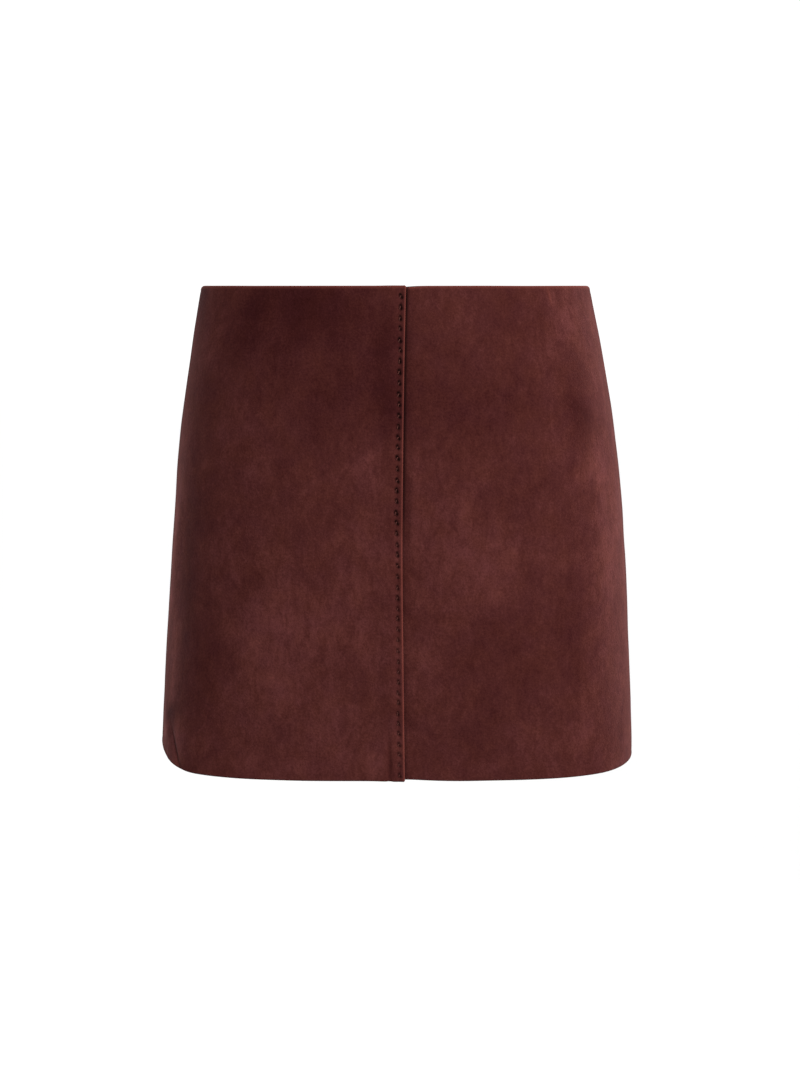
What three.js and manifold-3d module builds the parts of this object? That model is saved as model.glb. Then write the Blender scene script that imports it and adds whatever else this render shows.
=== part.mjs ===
// A suede mini skirt, filled out as when it is worn: four panels, a lapped seam down the centre
// front, a seam down each side, and a seam with a concealed zip down the centre back.
// Millimetres. +Z is up, the front faces -Y, and the waist edge lies in the plane z = 0.
// A place on the cloth is a turn round the body, 0 at the centre front, a quarter turn at the +X
// side and a half turn at the centre back, and a drop below the waist edge.
import * as THREE from "three";
import { mergeVertices } from "three/addons/utils/BufferGeometryUtils.js";
import Module from "manifold-3d";

const wasm = await Module();
wasm.setup();

// The skirt. Its hem curves up towards each side seam, over the last degrees of turn.
const length = 372.6;
const wall = 1.5;
const gap = 0.3;
const leftHemRise = 14.2;
const rightHemRise = 3.3;
const hemRiseStart = 44.2;
const hemRiseFull = 12.4;

// One row for each level, from the waist down: how far below the waist edge it is, half its
// width, its depth in front of and behind the middle, how square its corners are, how far its
// middle lies to +X, and where the edge of the front lap runs.
const levels = [
  { drop: 0, halfWidth: 153.2, front: 98, back: 100, corner: 2.4, middle: -1.4, lapEdge: 7 },
  { drop: 60, halfWidth: 164, front: 107, back: 112, corner: 2.48, middle: -0.5, lapEdge: 5.8 },
  { drop: 120, halfWidth: 172.8, front: 113, back: 120, corner: 2.55, middle: 0.3, lapEdge: 5 },
  { drop: 200, halfWidth: 180, front: 118, back: 124, corner: 2.62, middle: 0.8, lapEdge: 4.5 },
  { drop: 290, halfWidth: 185.4, front: 120, back: 123, corner: 2.68, middle: 0.1, lapEdge: 5.4 },
  { drop: 380, halfWidth: 189.2, front: 118, back: 121, corner: 3.3, middle: -0.9, lapEdge: 6.5 },
];

// The lapped seam: how wide the lap is, and how it rises beside the panel that lies under it.
const lapWidth = 10;
const lapRamp = 5;
const lapClearance = 0.5;

// How finely the cloth is divided.
const panelColumns = 22;
const rampColumns = 3;
const lapColumns = 3;
const panelRows = 20;
const stripColumns = 2;
const stripRows = 12;

// The zip's tapes and its closed coil.
const zipEnd = 182;
const tapeTop = 2;
const tapeWidth = 12;
const tapeThickness = 1;
const coilTop = 12.5;
const coilWidth = 3;
const coilThickness = 1.8;

// The slider: a body behind the coil, a neck through the seam, and a plate with an eye outside.
const sliderDrop = 9;
const bodyWidth = 8;
const bodyLength = 11;
const bodyThickness = 2;
const bodyRadius = 2;
const neckWidth = 1.6;
const neckHeight = 3;
const plateWidth = 5;
const plateLength = 9;
const plateThickness = 1;
const plateRadius = 1.5;
const lugWidth = 2;
const lugLength = 4.8;
const eyeRadius = 1;
const eyeWall = 0.9;
const overlap = 0.5;

// The pull tab hangs on the eye by a bar across its window.
const barRadius = 0.6;
const pullLength = 20;
const pullTopWidth = 5.4;
const pullEndWidth = 7;
const pullWindowWidth = 3.4;
const pullWindowTop = 0.3;
const pullWindowEnd = 3.6;
const pullShoulder = 5;
const roundSegments = 16;
const pullAxisOut = gap + plateThickness + gap + barRadius;

const suede = { color: 0x5a2b29, roughness: 0.95, metalness: 0 };
const polyester = { color: 0x43201f, roughness: 0.9, metalness: 0 };
const nylon = { color: 0x4a2523, roughness: 0.5, metalness: 0 };
const zinc = { color: 0x8c8177, roughness: 0.35, metalness: 0.9 };

// One measure of the skirt at a drop, on a smooth curve through the rows of the table.
function measure(name, drop) {
  const lastSpan = levels.length - 2;
  const below = levels.findIndex((level) => level.drop > drop);
  const row = below < 1 ? lastSpan : below - 1;
  const slopeAt = (index) => {
    const before = levels[Math.max(index - 1, 0)];
    const after = levels[Math.min(index + 1, levels.length - 1)];
    return (after[name] - before[name]) / (after.drop - before.drop);
  };
  const start = levels[row];
  const end = levels[row + 1];
  const span = end.drop - start.drop;
  const t = (drop - start.drop) / span;
  const rise = end[name] - start[name];
  const bendAtStart = slopeAt(row) * span - rise;
  const bendAtEnd = rise - slopeAt(row + 1) * span;
  return start[name] + t * rise + t * (1 - t) * ((1 - t) * bendAtStart + t * bendAtEnd);
}

// The outline at a drop is a rounded oblong, and this is its point at a turn.
function outlinePoint(turn, drop) {
  const sideways = Math.sin(turn);
  const forwards = Math.cos(turn);
  const corner = measure("corner", drop);
  const reach = (Math.abs(sideways) ** corner + Math.abs(forwards) ** corner) ** (-1 / corner);
  const depth = measure(forwards > 0 ? "front" : "back", drop);
  const x = measure("middle", drop) + measure("halfWidth", drop) * sideways * reach;
  return new THREE.Vector3(x, -depth * forwards * reach, -drop);
}

// The same point moved level, square to the outline: outwards, or inwards where out is below 0.
function clothPoint(turn, drop, out) {
  const step = 0.01;
  const along = outlinePoint(turn + step, drop).sub(outlinePoint(turn - step, drop)).normalize();
  return outlinePoint(turn, drop).add(new THREE.Vector3(along.y * out, -along.x * out, 0));
}

// The turns at which the front crosses a given x, and the back a given distance past its middle.
function frontTurn(x, drop) {
  return Math.asin((x - measure("middle", drop)) / measure("halfWidth", drop));
}

function backTurn(past, drop) {
  return Math.PI + Math.asin(past / measure("halfWidth", drop));
}

// The turn between a side seam and the edge of a panel beside it.
function seamTurn(depth, drop) {
  return Math.asin(gap / 2 / measure(depth, drop));
}

function hemDrop(turn) {
  const fromSide = THREE.MathUtils.radToDeg(Math.asin(Math.abs(Math.cos(turn))));
  const rise = Math.sin(turn) < 0 ? leftHemRise : rightHemRise;
  return length - rise * (1 - THREE.MathUtils.smoothstep(fromSide, hemRiseFull, hemRiseStart));
}

// A closed wall from a grid of points on its outer face and a grid on its inner face. Columns
// follow the turn and rows go down.
function wallGeometry(columns, rows, outerPoint, innerPoint) {
  const positions = [];
  const faces = [];
  const layerSize = (columns + 1) * (rows + 1);
  const outer = (i, j) => i * (rows + 1) + j;
  const inner = (i, j) => layerSize + outer(i, j);
  for (const pointAt of [outerPoint, innerPoint]) {
    for (let i = 0; i <= columns; i += 1) {
      for (let j = 0; j <= rows; j += 1) {
        positions.push(...pointAt(i, j).toArray());
      }
    }
  }
  const addQuad = (a, b, c, d) => faces.push(a, b, c, a, c, d);
  for (let i = 0; i < columns; i += 1) {
    for (let j = 0; j < rows; j += 1) {
      addQuad(outer(i, j), outer(i, j + 1), outer(i + 1, j + 1), outer(i + 1, j));
      addQuad(inner(i, j), inner(i + 1, j), inner(i + 1, j + 1), inner(i, j + 1));
    }
    addQuad(outer(i, 0), outer(i + 1, 0), inner(i + 1, 0), inner(i, 0));
    addQuad(outer(i + 1, rows), outer(i, rows), inner(i, rows), inner(i + 1, rows));
  }
  for (let j = 0; j < rows; j += 1) {
    addQuad(outer(0, j), inner(0, j), inner(0, j + 1), outer(0, j + 1));
    addQuad(inner(columns, j), outer(columns, j), outer(columns, j + 1), inner(columns, j + 1));
  }
  const geometry = new THREE.BufferGeometry();
  geometry.setAttribute("position", new THREE.Float32BufferAttribute(positions, 3));
  geometry.setIndex(faces);
  return geometry;
}

// A panel from the waist to the hem. Each column says its turn at a drop, and how far out it lies.
function panelGeometry(columns) {
  const pointAt = (inwards) => (i, j) => {
    const fraction = j / panelRows;
    const turn = columns[i].turnAt(fraction * length);
    return clothPoint(turn, fraction * hemDrop(turn), columns[i].out - inwards);
  };
  return wallGeometry(columns.length - 1, panelRows, pointAt(0), pointAt(wall));
}

// Columns spread evenly from one edge to another, both of them turns at a drop.
function evenColumns(startTurn, endTurn) {
  const columns = [];
  for (let i = 0; i <= panelColumns; i += 1) {
    const share = i / panelColumns;
    const turnAt = (drop) => THREE.MathUtils.lerp(startTurn(drop), endTurn(drop), share);
    columns.push({ turnAt, out: 0 });
  }
  return columns;
}

// A column at a distance from the edge of the lap.
function lapColumn(fromEdge, out) {
  return { turnAt: (drop) => frontTurn(measure("lapEdge", drop) - fromEdge, drop), out };
}

// The front panel on the -X side rises over the edge of the other one and laps over it.
function frontLapPanel() {
  const raised = lapWidth + lapClearance;
  const rampStart = lapColumn(raised + lapRamp, 0);
  const columns = evenColumns((drop) => seamTurn("front", drop) - Math.PI / 2, rampStart.turnAt);
  for (let i = 1; i <= rampColumns; i += 1) {
    const share = i / rampColumns;
    const out = (wall + gap) * THREE.MathUtils.smoothstep(share, 0, 1);
    columns.push(lapColumn(raised + lapRamp * (1 - share), out));
  }
  for (let i = 1; i <= lapColumns; i += 1) {
    columns.push(lapColumn(raised * (1 - i / lapColumns), wall + gap));
  }
  return panelGeometry(columns);
}

function frontUnderPanel() {
  const sideEdge = (drop) => Math.PI / 2 - seamTurn("front", drop);
  return panelGeometry(evenColumns(lapColumn(lapWidth, 0).turnAt, sideEdge));
}

function backRightPanel() {
  const sideEdge = (drop) => Math.PI / 2 + seamTurn("back", drop);
  return panelGeometry(evenColumns(sideEdge, (drop) => backTurn(-gap / 2, drop)));
}

function backLeftPanel() {
  const sideEdge = (drop) => 1.5 * Math.PI - seamTurn("back", drop);
  return panelGeometry(evenColumns((drop) => backTurn(gap / 2, drop), sideEdge));
}

// A strip that lies along the inside of the centre back seam.
function stripGeometry(pastStart, pastEnd, top, end, thickness) {
  const pointAt = (inwards) => (i, j) => {
    const drop = THREE.MathUtils.lerp(top, end, j / stripRows);
    const past = THREE.MathUtils.lerp(pastStart, pastEnd, i / stripColumns);
    return clothPoint(backTurn(past, drop), drop, -wall - gap - inwards);
  };
  return wallGeometry(stripColumns, stripRows, pointAt(0), pointAt(thickness));
}

function zipTape(side) {
  const near = side * (coilWidth / 2 + gap);
  const far = near + side * tapeWidth;
  const [pastStart, pastEnd] = side > 0 ? [near, far] : [far, near];
  return stripGeometry(pastStart, pastEnd, tapeTop, zipEnd, tapeThickness);
}

function zipCoil() {
  return stripGeometry(-coilWidth / 2, coilWidth / 2, coilTop, zipEnd, coilThickness);
}

function solidOf(geometry) {
  const bare = geometry.clone();
  bare.deleteAttribute("normal");
  bare.deleteAttribute("uv");
  const merged = mergeVertices(bare, 1e-4);
  const vertProperties = merged.attributes.position.array;
  const triVerts = new Uint32Array(merged.index.array);
  return new wasm.Manifold(new wasm.Mesh({ numProp: 3, vertProperties, triVerts }));
}

function geometryOf(solid) {
  const mesh = solid.getMesh();
  const geometry = new THREE.BufferGeometry();
  geometry.setAttribute("position", new THREE.BufferAttribute(mesh.vertProperties, 3));
  geometry.setIndex(new THREE.BufferAttribute(mesh.triVerts, 1));
  return geometry;
}

function joined(geometries) {
  return geometryOf(geometries.map(solidOf).reduce((whole, piece) => whole.add(piece)));
}

// A flat shape drawn in x and z, with its outer face at y = out.
function flatPlate(shape, thickness, out) {
  const geometry = new THREE.ExtrudeGeometry(shape, {
    depth: thickness,
    bevelEnabled: false,
    curveSegments: roundSegments / 4,
  });
  return geometry.rotateX(Math.PI / 2).translate(0, out, 0);
}

function roundedOblong(width, height, radius) {
  const x = width / 2;
  const y = height / 2;
  const shape = new THREE.Shape();
  shape.moveTo(radius - x, -y);
  shape.lineTo(x - radius, -y);
  shape.absarc(x - radius, radius - y, radius, -Math.PI / 2, 0);
  shape.absarc(x - radius, y - radius, radius, 0, Math.PI / 2);
  shape.absarc(radius - x, y - radius, radius, Math.PI / 2, Math.PI);
  shape.absarc(radius - x, radius - y, radius, Math.PI, 1.5 * Math.PI);
  return shape;
}

// The slider's own frame: +Y out of the cloth, +Z up along it, and the neck at the origin.
function sliderFrame() {
  const reach = bodyLength / 2;
  const rise = measure("back", sliderDrop + reach) - measure("back", sliderDrop - reach);
  const frame = new THREE.Group();
  frame.position.copy(outlinePoint(Math.PI, sliderDrop));
  frame.rotation.x = Math.atan(rise / bodyLength);
  frame.updateMatrix();
  return frame;
}

// The neck's way through the seam, cut from the edge of the panel on each side of it.
function withNotch(panel, frame) {
  const opening = new THREE.BoxGeometry(neckWidth + 2 * gap, 8 * wall, neckHeight + 2 * gap);
  opening.applyMatrix4(frame.matrix);
  return geometryOf(solidOf(panel).subtract(solidOf(opening)));
}

function sliderLug() {
  const shape = new THREE.Shape();
  const ringRadius = eyeRadius + eyeWall;
  const foot = gap + plateThickness - overlap;
  shape.moveTo(-lugLength / 2, foot);
  shape.lineTo(lugLength / 2, foot);
  shape.absarc(0, pullAxisOut, ringRadius, 0, Math.PI);
  shape.holes.push(new THREE.Path().absarc(0, pullAxisOut, eyeRadius, 0, 2 * Math.PI, true));
  const geometry = new THREE.ExtrudeGeometry(shape, {
    depth: lugWidth,
    bevelEnabled: false,
    curveSegments: roundSegments,
  });
  return geometry.translate(0, 0, -lugWidth / 2).rotateY(Math.PI / 2);
}

function zipSlider() {
  const bodyOut = -(wall + gap + coilThickness + gap);
  const neckLength = gap - bodyOut + 2 * overlap;
  const body = flatPlate(roundedOblong(bodyWidth, bodyLength, bodyRadius), bodyThickness, bodyOut);
  const neck = new THREE.BoxGeometry(neckWidth, neckLength, neckHeight);
  neck.translate(0, (bodyOut + gap) / 2, 0);
  const plateShape = roundedOblong(plateWidth, plateLength, plateRadius);
  const plate = flatPlate(plateShape, plateThickness, gap + plateThickness);
  return joined([body, neck, plate, sliderLug()]);
}

// The pull tab, with the bar that it turns on at its own origin.
function zipPull() {
  const top = pullTopWidth / 2;
  const end = pullEndWidth / 2;
  const shape = new THREE.Shape();
  shape.moveTo(top, 0);
  shape.lineTo(-top, 0);
  shape.lineTo(-top, -pullShoulder);
  shape.lineTo(-end, end - pullLength);
  shape.absarc(0, end - pullLength, end, Math.PI, 2 * Math.PI);
  shape.lineTo(top, -pullShoulder);
  const window = new THREE.Path();
  window.moveTo(-pullWindowWidth / 2, -pullWindowTop);
  window.lineTo(-pullWindowWidth / 2, -pullWindowEnd);
  window.lineTo(pullWindowWidth / 2, -pullWindowEnd);
  window.lineTo(pullWindowWidth / 2, -pullWindowTop);
  shape.holes.push(window);
  const tab = new THREE.ExtrudeGeometry(shape, {
    depth: 2 * barRadius,
    bevelEnabled: false,
    curveSegments: roundSegments,
  });
  tab.rotateX(Math.PI / 2).translate(0, barRadius, 0);
  const bar = new THREE.CylinderGeometry(barRadius, barRadius, pullTopWidth, roundSegments);
  bar.rotateZ(Math.PI / 2);
  return joined([tab, bar]);
}

function named(name, geometry, finish) {
  const mesh = new THREE.Mesh(geometry, new THREE.MeshStandardMaterial(finish));
  mesh.name = name;
  return mesh;
}

const skirt = new THREE.Group();
const slider = sliderFrame();
skirt.add(named("front_lap_panel", frontLapPanel(), suede));
skirt.add(named("front_under_panel", frontUnderPanel(), suede));
skirt.add(named("back_left_panel", withNotch(backLeftPanel(), slider), suede));
skirt.add(named("back_right_panel", withNotch(backRightPanel(), slider), suede));
skirt.add(named("zip_tape_left", zipTape(1), polyester));
skirt.add(named("zip_tape_right", zipTape(-1), polyester));
skirt.add(named("zip_coil", zipCoil(), nylon));

const pull = named("zip_pull", zipPull(), zinc);
pull.position.y = pullAxisOut;
slider.add(named("zip_slider", zipSlider(), zinc), pull);
skirt.add(slider);

export default skirt;
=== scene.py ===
import math
import random

import bmesh
import bpy
import numpy as np
from mathutils import Matrix, Vector, noise


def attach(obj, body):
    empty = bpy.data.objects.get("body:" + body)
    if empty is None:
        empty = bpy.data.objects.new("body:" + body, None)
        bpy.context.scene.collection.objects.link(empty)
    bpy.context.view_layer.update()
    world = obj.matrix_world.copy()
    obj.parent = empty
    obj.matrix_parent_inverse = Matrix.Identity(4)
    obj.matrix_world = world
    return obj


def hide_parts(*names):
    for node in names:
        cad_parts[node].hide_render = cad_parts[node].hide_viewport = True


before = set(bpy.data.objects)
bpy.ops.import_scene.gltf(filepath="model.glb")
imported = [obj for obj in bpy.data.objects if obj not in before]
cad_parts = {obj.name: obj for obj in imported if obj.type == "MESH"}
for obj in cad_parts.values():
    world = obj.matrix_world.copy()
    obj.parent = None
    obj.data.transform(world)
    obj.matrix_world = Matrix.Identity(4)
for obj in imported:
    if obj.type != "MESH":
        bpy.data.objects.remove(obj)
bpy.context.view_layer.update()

# Sizes here are real millimetres, and a mesh is scaled to metres when it is written.
mm = 0.001

# The camera stands as high as the waist edge, so the waist shows as one straight line.
cameraSettings = {
    "distance": 1600,
    "sideways": 2.4,
    "pitch": 7.07,  # degrees down
    "lens": 67.48,
    "sensor": 36,
}

# The skirt's form. A place on it is a turn round the body, 0 at the centre front and a quarter
# turn at +X, and a drop below the waist edge. Corner says how square the outline is.
form = {
    "length": 373.4,
    "leftHemRise": 14.2,
    "rightHemRise": 3.3,
    "hemRiseStart": 44.2,
    "hemRiseFull": 12.4,
    "seamPress": 0.2,  # how far the folds of two neighbours press into each other
    "levels": [
        {"drop": 0, "halfWidth": 153.2, "front": 98, "back": 100,
         "corner": 2.4, "middle": -1.4, "lapEdge": 7},
        {"drop": 60, "halfWidth": 164, "front": 107, "back": 112,
         "corner": 2.48, "middle": -0.5, "lapEdge": 5.8},
        {"drop": 120, "halfWidth": 173.2, "front": 113, "back": 120,
         "corner": 2.55, "middle": 0.7, "lapEdge": 5},
        {"drop": 200, "halfWidth": 180.5, "front": 118, "back": 124,
         "corner": 2.62, "middle": 1.3, "lapEdge": 4.5},
        {"drop": 290, "halfWidth": 185.9, "front": 120, "back": 123,
         "corner": 2.68, "middle": 0.6, "lapEdge": 5.4},
        {"drop": 380, "halfWidth": 189.6, "front": 118, "back": 121,
         "corner": 3.3, "middle": -0.4, "lapEdge": 6.5},
    ],
}

# The suede and how its edges are turned in: the cloth goes round a small radius and lies flat
# against the inside.
cloth = {
    "thickness": 1.0,
    "layerPitch": 1.12,
    "foldRadius": 0.56,
    "foldMargin": 1.06,  # the fold's own bulge, kept inside the edge
    "stepRadius": 155,  # a radian of turn is this much of a panel's width
    "foldSteps": 6,
    "turnedSteps": 5,
    "waistTurn": 25,
    "hemTurn": 30,
    "seamTurn": 10,
    "lapTurn": 9.5,
    "mitre": 12,  # how far from a turned edge the seam allowance starts to be trimmed
    "mitreLeft": 0.06,
    "turnRadius": 165,  # a radian of turn, for the width of a crease or a patch
    "waveSize": 55,
    "waveHeight": 0.55,
    "pressIn": 3.4,  # the pressed line along the hem and the waist
    "pressWide": 1.4,
    "pressDepth": 0.16,
    "puckerStep": 7.0,
    "puckerWide": 9,
    "seamRaise": 0.12,  # where the turned-in allowance lies behind
}

# How much lower than the form the edges hang: near the waist until waistTo, near the hem from
# hemFrom.
sags = {
    "waistTo": 25,
    "hemFrom": 280,
    "sideSeam": 1.9,
    "sideSeamWide": 2.5,  # hundredths of the half width
    "backSeam": 1.4,
    "backSeamWide": 13,
    "underWaist": 1.1,
    "underWaistWide": 9,
    "underHem": -1.1,
    "underHemWide": 24,
    "lapHem": 0.1,
}

# How much lighter or darker the suede is painted along its edges, seams and stitches: above 0 the nap is
# rubbed lighter and a painted highlight lies along the rounded folds and edges, below 0 it is painted
# shade under the hem's fold, in the stitch pits and in the ditch beside the lap. Where it changes down
# the skirt, it is the first number above the two drops and the second below them.
rubsAndShades = {
    "sewnFold": 0.3,
    "openFold": 0.8,
    "waist": 0.5,
    "hem": -1.4,
    "ridge": {"above": 0.2, "below": 0.5, "drops": (150, 200)},
    "stitches": {"above": -1.35, "below": -0.9, "drops": (150, 300)},
    "ditch": {"above": -1.2, "below": -0.4, "drops": (150, 210)},
}

# The lapped seam and the saddle stitches beside its edge.
lap = {
    "width": 10,
    "raise": 1.5,
    "sink": 0.75,
    "flat": 8.5,
    "faded": 25,
    "sunkTo": 18,
    "stitchIn": [  # how far the row of stitches runs inside the lap's edge
        {"drop": 0, "in": 4.3},
        {"drop": 95, "in": 4.2},
        {"drop": 132, "in": 5.0},
        {"drop": 168, "in": 5.5},
        {"drop": 204, "in": 4.5},
        {"drop": 260, "in": 4.5},
        {"drop": 313, "in": 5.2},
        {"drop": 350, "in": 4.8},
    ],
    "stitchPitch": 8.0,
    "firstStitch": 8.6,
    "stitches": 46,
    "holeApart": 2.5,
    "holeRadius": 1.2,
    "holeDepth": 0.9,
    "pitWide": 1.9,
    "pitTall": 2.6,
    "pitDepth": 0.6,
    "laneDepth": 0.2,
    "laneWidth": 1.8,
    "edgeRidge": 0.3,
    "eased": 0.35,  # how much shallower the stitches are at the hem
    "threadSink": 0.35,
    "threadOver": 1.12,  # a stitch is a little longer than its holes are apart
}

# Small dents and puffs along the lapped seam: how far they are inside the lap's edge, or outside
# it below 0, and how high.
lapDents = [
    {"in": 11.9, "drop": 366, "long": 80, "wide": 2.1, "height": -1.3},
    {"in": 20, "drop": 360, "long": 34, "wide": 6, "height": 0.55},
    {"in": 13, "drop": 110, "long": 150, "wide": 7, "height": -0.35},
    {"in": 17, "drop": 215, "long": 90, "wide": 8, "height": 0.3},
    {"in": -2.6, "drop": 178, "long": 66, "wide": 2.6, "height": -0.75},
    {"in": -3, "drop": 45, "long": 46, "wide": 2.2, "height": -0.4},
    {"in": -8.5, "drop": 140, "long": 100, "wide": 4.2, "height": 0.6},
    {"in": -13, "drop": 128, "long": 90, "wide": 2.6, "height": -0.35},
    {"in": -3, "drop": 300, "long": 80, "wide": 2, "height": -0.3},
]

# Soft ridges and troughs: where the middle is, how long and wide, how far it leans to the side
# from its top to its end, and its height, below 0 for a trough.
creases = [
    {"turn": -67, "drop": 215, "long": 150, "wide": 11, "lean": -26, "height": 0.9},
    {"turn": -58, "drop": 250, "long": 230, "wide": 17, "lean": -8, "height": -0.8},
    {"turn": -35, "drop": 300, "long": 130, "wide": 26, "lean": 12, "height": 0.5},
    {"turn": -20, "drop": 95, "long": 120, "wide": 24, "lean": -18, "height": -0.6},
    {"turn": -8, "drop": 190, "long": 170, "wide": 14, "lean": 5, "height": 0.45},
    {"turn": 12, "drop": 245, "long": 190, "wide": 22, "lean": 6, "height": 0.45},
    {"turn": 31, "drop": 175, "long": 160, "wide": 24, "lean": 22, "height": -0.55},
    {"turn": 42, "drop": 305, "long": 120, "wide": 25, "lean": -14, "height": 0.5},
    {"turn": 66, "drop": 180, "long": 190, "wide": 15, "lean": 9, "height": 0.6},
    {"turn": 84, "drop": 64, "long": 76, "wide": 16, "lean": 2, "height": 0.7},
    {"turn": -61.8, "drop": 349, "long": 50, "wide": 6.5, "lean": 34, "height": 0.9},
    {"turn": -54.8, "drop": 358, "long": 34, "wide": 4.4, "lean": 25, "height": -0.8},
    {"turn": 104, "drop": 150, "long": 150, "wide": 16, "lean": -18, "height": 0.7},
    {"turn": 118, "drop": 270, "long": 170, "wide": 24, "lean": 14, "height": -0.7},
    {"turn": 139, "drop": 90, "long": 110, "wide": 20, "lean": 20, "height": 0.55},
    {"turn": 155, "drop": 235, "long": 200, "wide": 26, "lean": -10, "height": 0.5},
    {"turn": 173, "drop": 235, "long": 90, "wide": 6, "lean": -3, "height": -0.5},
    {"turn": 188, "drop": 150, "long": 130, "wide": 9, "lean": 4, "height": 0.45},
    {"turn": 205, "drop": 285, "long": 150, "wide": 25, "lean": -16, "height": -0.6},
    {"turn": 221, "drop": 120, "long": 140, "wide": 21, "lean": -20, "height": 0.55},
    {"turn": 243, "drop": 240, "long": 180, "wide": 18, "lean": 12, "height": 0.65},
    {"turn": 257, "drop": 110, "long": 100, "wide": 13, "lean": 8, "height": -0.6},
]

# The sharp bottom of a fold is finer than the grid, so the material draws it: painted shade along a
# trough low on the panel that laps, and below 0 a lighter rubbed line at the waist of the panel under it.
narrowFolds = {
    "wide": 1.7,
    "front_lap_panel": {"turn": -54.8, "drop": 358, "long": 34, "lean": 25, "share": 1},
    "front_under_panel": {"turn": 45.5, "drop": 8, "long": 16, "lean": 1.5, "share": -0.5},
}

# Where the suede is painted lighter or darker over a wide patch, for the nap's tone and, along the left
# side, for painted light and shade: its middle, its size and its tone.
napAndLightPatches = [
    {"turn": -22, "drop": 14, "wide": 96, "tall": 110, "tone": -1.1},
    {"turn": -3, "drop": 79, "wide": 40, "tall": 95, "tone": -0.8},
    # the next one is painted shade: a darker band inside the left edge
    {"turn": -56, "drop": 210, "wide": 22, "tall": 240, "tone": -0.3},
    {"turn": -38, "drop": 14, "wide": 40, "tall": 60, "tone": -0.7},
    # the next two are painted shade over the upper left edge, where the light catches it
    {"turn": -82, "drop": 24, "wide": 60, "tall": 100, "tone": -1.3},
    {"turn": -69, "drop": 10, "wide": 32, "tall": 46, "tone": -0.9},
    {"turn": -62, "drop": 330, "wide": 24, "tall": 16, "tone": -1.3},
    {"turn": -66, "drop": 344, "wide": 15, "tall": 30, "tone": 0.7},
    # the next three are painted sheen: lighter down the left side, from the hip to the hem corner
    {"turn": -71, "drop": 190, "wide": 26, "tall": 130, "tone": 0.8},
    {"turn": -62, "drop": 290, "wide": 22, "tall": 90, "tone": 0.8},
    {"turn": -54, "drop": 360, "wide": 22, "tall": 70, "tone": 0.7},
    {"turn": -45, "drop": 290, "wide": 40, "tall": 70, "tone": -0.4},
    {"turn": 16, "drop": 95, "wide": 40, "tall": 50, "tone": -0.4},
    {"turn": 33, "drop": 16, "wide": 60, "tall": 40, "tone": -0.45},
    {"turn": -6, "drop": 135, "wide": 24, "tall": 40, "tone": 0.45},
    {"turn": -13, "drop": 352, "wide": 30, "tall": 36, "tone": 0.4},
    {"turn": 5, "drop": 285, "wide": 22, "tall": 60, "tone": 0.45},
    {"turn": 24, "drop": 208, "wide": 90, "tall": 60, "tone": 0.45},
    {"turn": 33, "drop": 330, "wide": 54, "tall": 90, "tone": 0.3},
    {"turn": 50, "drop": 90, "wide": 32, "tall": 60, "tone": -0.85},
    {"turn": -27, "drop": 267, "wide": 92, "tall": 100, "tone": 0.37},
    {"turn": -32, "drop": 357, "wide": 16, "tall": 15, "tone": 0.4},
    {"turn": -23, "drop": 361, "wide": 13, "tall": 12, "tone": 0.35},
    {"turn": -5.5, "drop": 359, "wide": 11, "tall": 22, "tone": 0.5},
    {"turn": 5.5, "drop": 162, "wide": 20, "tall": 55, "tone": 0.3},
    {"turn": 10.7, "drop": 79, "wide": 60, "tall": 80, "tone": -0.37},
    {"turn": 33, "drop": 86, "wide": 50, "tall": 60, "tone": -0.35},
    {"turn": 49, "drop": 24, "wide": 30, "tall": 60, "tone": 0.5},
    {"turn": 26, "drop": 289, "wide": 90, "tall": 140, "tone": -0.45},
    {"turn": 42, "drop": 267, "wide": 30, "tall": 90, "tone": -0.4},
    {"turn": 56, "drop": 190, "wide": 26, "tall": 150, "tone": 0.45},
    {"turn": 115, "drop": 200, "wide": 60, "tall": 120, "tone": 0.35},
    {"turn": 140, "drop": 40, "wide": 80, "tall": 90, "tone": -0.7},
    {"turn": 158, "drop": 250, "wide": 80, "tall": 110, "tone": 0.4},
    {"turn": 183, "drop": 210, "wide": 34, "tall": 120, "tone": -0.5},
    {"turn": 206, "drop": 60, "wide": 70, "tall": 70, "tone": 0.35},
    {"turn": 222, "drop": 270, "wide": 90, "tall": 100, "tone": -0.5},
    {"turn": 250, "drop": 120, "wide": 50, "tall": 110, "tone": -0.3},
]

random.seed(11)
quarter = math.pi / 2


def smooth(value, start, end):
    t = np.clip((value - start) / (end - start), 0, 1)
    return t * t * (3 - 2 * t)


def bell(value, width):
    return np.exp(-((value / width) ** 2))


# One measure of the form at a drop, on a smooth curve through the rows of its table.
def measure(name, drop):
    drops = np.array([level["drop"] for level in form["levels"]], float)
    values = np.array([level[name] for level in form["levels"]], float)
    rows = np.arange(len(drops))
    before = np.maximum(rows - 1, 0)
    after = np.minimum(rows + 1, len(drops) - 1)
    slopes = (values[after] - values[before]) / (drops[after] - drops[before])
    row = np.clip(np.searchsorted(drops, drop, side="right") - 1, 0, len(drops) - 2)
    span = drops[row + 1] - drops[row]
    t = (drop - drops[row]) / span
    rise = values[row + 1] - values[row]
    bendAtStart = slopes[row] * span - rise
    bendAtEnd = rise - slopes[row + 1] * span
    return values[row] + t * rise + t * (1 - t) * ((1 - t) * bendAtStart + t * bendAtEnd)


# The point of the outline at a turn and a drop.
def outlinePoint(turn, drop):
    sideways, forwards = np.sin(turn), np.cos(turn)
    corner = measure("corner", drop)
    reach = (np.abs(sideways) ** corner + np.abs(forwards) ** corner) ** (-1 / corner)
    depth = np.where(forwards > 0, measure("front", drop), measure("back", drop))
    x = measure("middle", drop) + measure("halfWidth", drop) * sideways * reach
    y = -depth * forwards * reach
    return np.stack(np.broadcast_arrays(x, y, -drop), axis=-1)


def unit(vectors):
    return vectors / np.linalg.norm(vectors, axis=-1, keepdims=True)


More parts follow.
